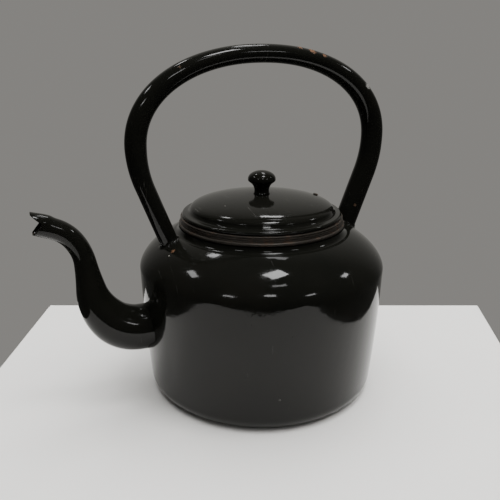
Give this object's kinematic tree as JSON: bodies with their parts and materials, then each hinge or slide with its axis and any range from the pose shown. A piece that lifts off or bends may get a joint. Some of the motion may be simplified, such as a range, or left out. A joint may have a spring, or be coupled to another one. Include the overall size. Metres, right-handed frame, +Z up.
{
  "type": "kettle",
  "caption": "Black enamelled iron kettle with a swan-neck spout, a fixed tubular hoop handle and a domed lift-off lid with a mushroom knob.",
  "frame": {"origin": "centre of the flat underside, on the surface that the kettle stands on", "axes": "+Z up; -X towards the spout; the handle hoop and the spout lie in the XZ plane"},
  "size_m": [0.293, 0.205, 0.2832],
  "materials": {
    "body_enamel": "black vitreous enamel, glossy, lightly scratched",
    "spout_enamel": "black vitreous enamel, glossy",
    "lid_enamel": "black vitreous enamel, glossy, dusty",
    "knob_enamel": "black vitreous enamel, glossy, worn on its crown",
    "hoop_enamel": "black enamel on steel tube, glossy, chipped to rust at the crown",
    "braze": "brazed fillet under black enamel, rust specks",
    "ring_iron": "turned iron, worn brown, fine circular lines",
    "eyelet_iron": "dark worn iron",
    "inner_iron": "bare iron, dull, browned by steam"
  },
  "bodies": {
    "kettle": {"kettle_body": "body_enamel", "neck_ring": "ring_iron", "spout": "spout_enamel", "spout_retainer": "inner_iron", "handle_hoop": "hoop_enamel", "handle_braze_front": "braze", "handle_braze_rear": "braze", "handle_spigot_front": "inner_iron", "handle_spigot_rear": "inner_iron", "handle_washer_front": "inner_iron", "handle_washer_rear": "inner_iron"},
    "lid": {"lid_shell": "lid_enamel", "lid_skirt": "inner_iron", "lid_knob": "knob_enamel", "knob_stud": "inner_iron", "knob_washer": "inner_iron", "knob_nut": "inner_iron", "vent_eyelet": "eyelet_iron"}
  },
  "joints": [
    {"name": "lid_lift", "type": "slide", "parent": "kettle", "child": "lid", "axis": [0, 0, 1], "range_m": [0, 0.08]}
  ]
}
